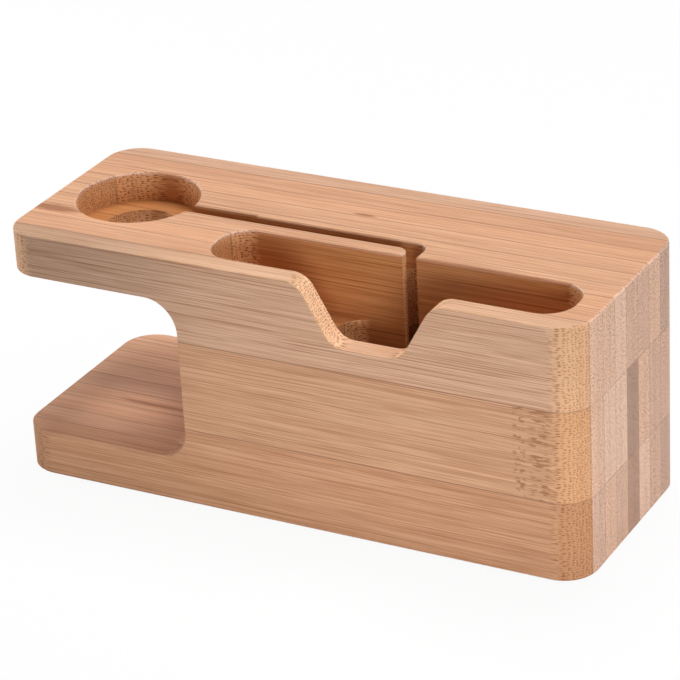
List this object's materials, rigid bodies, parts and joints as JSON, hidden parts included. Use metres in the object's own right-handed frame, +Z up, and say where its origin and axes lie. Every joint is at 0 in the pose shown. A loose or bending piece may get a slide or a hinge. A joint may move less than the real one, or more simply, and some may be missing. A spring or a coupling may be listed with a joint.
{
  "type": "phone and watch charging dock",
  "caption": "Laminated bamboo charging dock: an arm with a round recess holds a watch charger, a notched pocket stands a phone, and a slot, well and channel lead the cables out.",
  "frame": {"origin": "middle of the dock's outline, level with the undersides of its pads", "axes": "+X from the watch arm's open end to the closed end, +Y from the notched front to the back, +Z up"},
  "size_m": [0.14, 0.0538, 0.0601],
  "materials": {
    "bamboo": "sanded, thin satin oil",
    "bamboo_dark": "sanded, thin satin oil",
    "pad_rubber": "matt"
  },
  "bodies": {
    "root": {"bottom_board_strip_1": "bamboo", "bottom_board_strip_2": "bamboo", "bottom_board_strip_3_left": "bamboo", "bottom_board_strip_3_right": "bamboo", "bottom_board_strip_4_left": "bamboo", "bottom_board_strip_4_right": "bamboo", "bottom_board_strip_5": "bamboo", "bottom_board_strip_6": "bamboo", "bottom_board_strip_7": "bamboo", "bottom_board_strip_8": "bamboo", "bottom_board_strip_9": "bamboo", "middle_board_strip_1": "bamboo", "middle_board_strip_2": "bamboo", "middle_board_strip_3_left": "bamboo", "middle_board_strip_3_right": "bamboo", "middle_board_strip_4_left": "bamboo", "middle_board_strip_4_right": "bamboo", "middle_board_strip_5": "bamboo_dark", "middle_board_strip_6": "bamboo", "middle_board_strip_7": "bamboo", "middle_board_strip_8": "bamboo", "middle_board_strip_9": "bamboo", "pad_back_left": "pad_rubber", "pad_back_right": "pad_rubber", "pad_front_left": "pad_rubber", "pad_front_right": "pad_rubber", "top_board_strip_1": "bamboo", "top_board_strip_2": "bamboo", "top_board_strip_3_left": "bamboo", "top_board_strip_3_right": "bamboo", "top_board_strip_4_left": "bamboo", "top_board_strip_4_right": "bamboo", "top_board_strip_5_left": "bamboo", "top_board_strip_5_right": "bamboo", "top_board_strip_6": "bamboo", "top_board_strip_7": "bamboo", "top_board_strip_8": "bamboo", "top_board_strip_9": "bamboo"}
  },
  "joints": []
}
